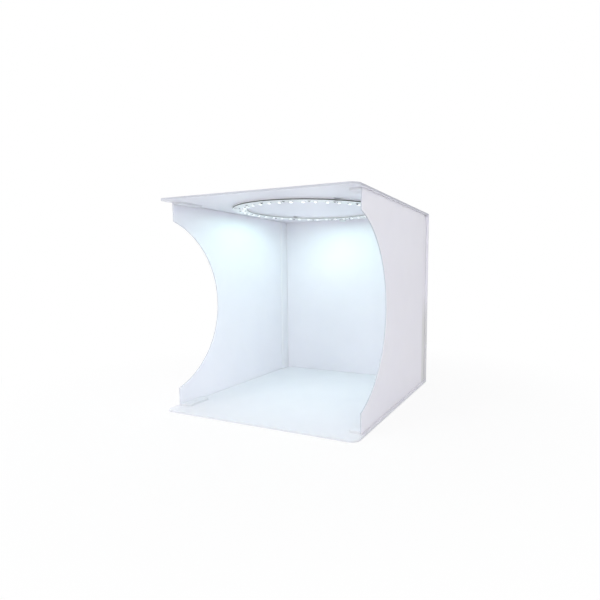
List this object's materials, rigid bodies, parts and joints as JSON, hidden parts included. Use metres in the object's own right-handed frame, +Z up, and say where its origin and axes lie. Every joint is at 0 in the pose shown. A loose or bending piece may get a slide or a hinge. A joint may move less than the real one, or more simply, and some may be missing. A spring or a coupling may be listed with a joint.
{
  "type": "light tent cube",
  "caption": "Fold-up white shooting box with cut-out side walls, rounded front lips, magnet tabs and a ring lamp of small diodes under its roof.",
  "frame": {"origin": "on the ground under the middle of the whole outline, floor lip included", "axes": "+Z up, the open front faces -Y, +X to the right of a person who looks in"},
  "size_m": [0.23, 0.25, 0.2324],
  "materials": {
    "white_sheet": "satin white polypropylene sheet with a fine grain",
    "lamp_board": "white solder mask on a lamp board",
    "lamp": "white diode packages, lit",
    "resistor": "black coated chip resistors",
    "nylon": "moulded white nylon",
    "magnet_plating": "nickel plated disc magnet",
    "inlet_shell": "tinned pressed steel",
    "inlet_tongue": "moulded black contact carrier"
  },
  "bodies": {
    "base": {"floor_board": "white_sheet", "left_floor_board_magnet": "magnet_plating", "right_floor_board_magnet": "magnet_plating"},
    "back": {"back_board": "white_sheet", "left_spine_strip": "white_sheet", "right_spine_strip": "white_sheet", "left_back_flap": "white_sheet", "right_back_flap": "white_sheet"},
    "roof": {"roof_board": "white_sheet", "ring_board": "lamp_board", "lamp_array": "lamp", "resistor_array": "resistor", "front_left_rivet": "nylon", "front_right_rivet": "nylon", "rear_right_rivet": "nylon", "rear_left_rivet": "nylon", "power_inlet": "inlet_shell", "power_inlet_tongue": "inlet_tongue", "left_roof_board_magnet": "magnet_plating", "right_roof_board_magnet": "magnet_plating"},
    "left_side": {"left_wall": "white_sheet"},
    "right_side": {"right_wall": "white_sheet"},
    "left_floor_catch": {"left_floor_tab": "white_sheet", "left_floor_tab_magnet": "magnet_plating"},
    "right_floor_catch": {"right_floor_tab": "white_sheet", "right_floor_tab_magnet": "magnet_plating"},
    "left_roof_catch": {"left_roof_tab": "white_sheet", "left_roof_tab_magnet": "magnet_plating"},
    "right_roof_catch": {"right_roof_tab": "white_sheet", "right_roof_tab_magnet": "magnet_plating"}
  },
  "joints": [
    {"name": "back_recline", "type": "hinge", "parent": "base", "child": "back", "pos_m": [0, 0.125, 0], "axis": [-1, 0, 0], "range_deg": [0, 90]},
    {"name": "roof_lift", "type": "hinge", "parent": "back", "child": "roof", "pos_m": [0, 0.125, 0.231], "axis": [-1, 0, 0], "range_deg": [0, 90]},
    {"name": "left_wall_swing", "type": "hinge", "parent": "back", "child": "left_side", "pos_m": [-0.112, 0.1095, 0.1155], "axis": [0, 0, -1], "range_deg": [0, 90]},
    {"name": "right_wall_swing", "type": "hinge", "parent": "back", "child": "right_side", "pos_m": [0.112, 0.1095, 0.1155], "axis": [0, 0, 1], "range_deg": [0, 90]},
    {"name": "left_floor_tab_fold", "type": "hinge", "parent": "left_side", "child": "left_floor_catch", "pos_m": [-0.1102, -0.09, 0.0038], "axis": [0, -1, 0], "range_deg": [0, 90]},
    {"name": "right_floor_tab_fold", "type": "hinge", "parent": "right_side", "child": "right_floor_catch", "pos_m": [0.1102, -0.09, 0.0038], "axis": [0, 1, 0], "range_deg": [0, 90]},
    {"name": "left_roof_tab_fold", "type": "hinge", "parent": "left_side", "child": "left_roof_catch", "pos_m": [-0.1102, -0.09, 0.2272], "axis": [0, 1, 0], "range_deg": [0, 90]},
    {"name": "right_roof_tab_fold", "type": "hinge", "parent": "right_side", "child": "right_roof_catch", "pos_m": [0.1102, -0.09, 0.2272], "axis": [0, -1, 0], "range_deg": [0, 90]}
  ]
}
